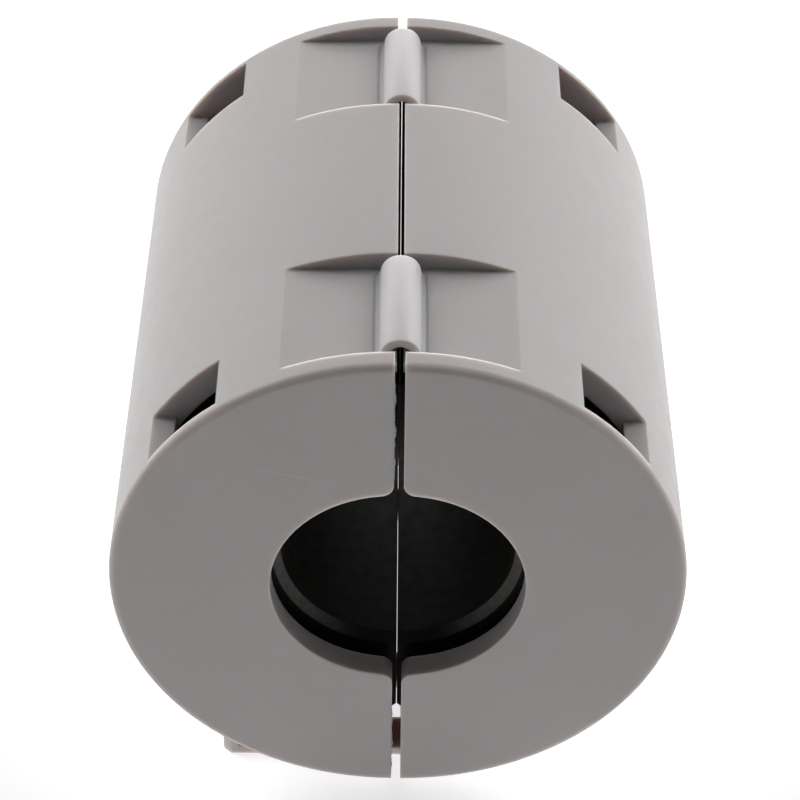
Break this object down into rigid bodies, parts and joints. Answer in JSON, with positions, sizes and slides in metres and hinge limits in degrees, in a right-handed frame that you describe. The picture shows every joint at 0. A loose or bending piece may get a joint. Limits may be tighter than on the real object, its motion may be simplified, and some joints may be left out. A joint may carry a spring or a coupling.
{
  "type": "clip-on ferrite bead",
  "caption": "Round clip-on ferrite bead: a hinged two-half plastic case whose split ferrite core closes around a cable and is held by latch loops.",
  "frame": {"origin": "on the cable axis, half way along the core", "axes": "+Y along the cable; +Z towards the two hinge straps at the top of the case; +X towards the half that carries the latch loops"},
  "size_m": [0.03, 0.0324, 0.0304],
  "materials": {
    "case_nylon": "satin moulded nylon, light warm grey",
    "core_ferrite": "pressed and fired ferrite ceramic, near black, ground on the mating faces"
  },
  "bodies": {
    "latch_side": {"case_latch_half": "case_nylon", "core_half_right": "core_ferrite", "hinge_strap_front": "case_nylon", "hinge_strap_rear": "case_nylon"},
    "catch_side": {"case_catch_half": "case_nylon", "core_half_left": "core_ferrite"},
    "front_latch": {"latch_strap_front": "case_nylon"},
    "rear_latch": {"latch_strap_rear": "case_nylon"}
  },
  "joints": [
    {"name": "case_hinge", "type": "hinge", "parent": "latch_side", "child": "catch_side", "pos_m": [0, 0, 0.015], "axis": [0, 1, 0], "range_deg": [0, 170], "deforming": ["hinge_strap_front", "hinge_strap_rear"]},
    {"name": "front_latch_flex", "type": "hinge", "parent": "latch_side", "child": "front_latch", "pos_m": [0.0013, -0.0098, -0.01515], "axis": [0, -1, 0], "range_deg": [0, 12], "stiffness_Nm_per_rad": 0.03},
    {"name": "rear_latch_flex", "type": "hinge", "parent": "latch_side", "child": "rear_latch", "pos_m": [0.0013, 0.0098, -0.01515], "axis": [0, -1, 0], "range_deg": [0, 12], "stiffness_Nm_per_rad": 0.03}
  ]
}
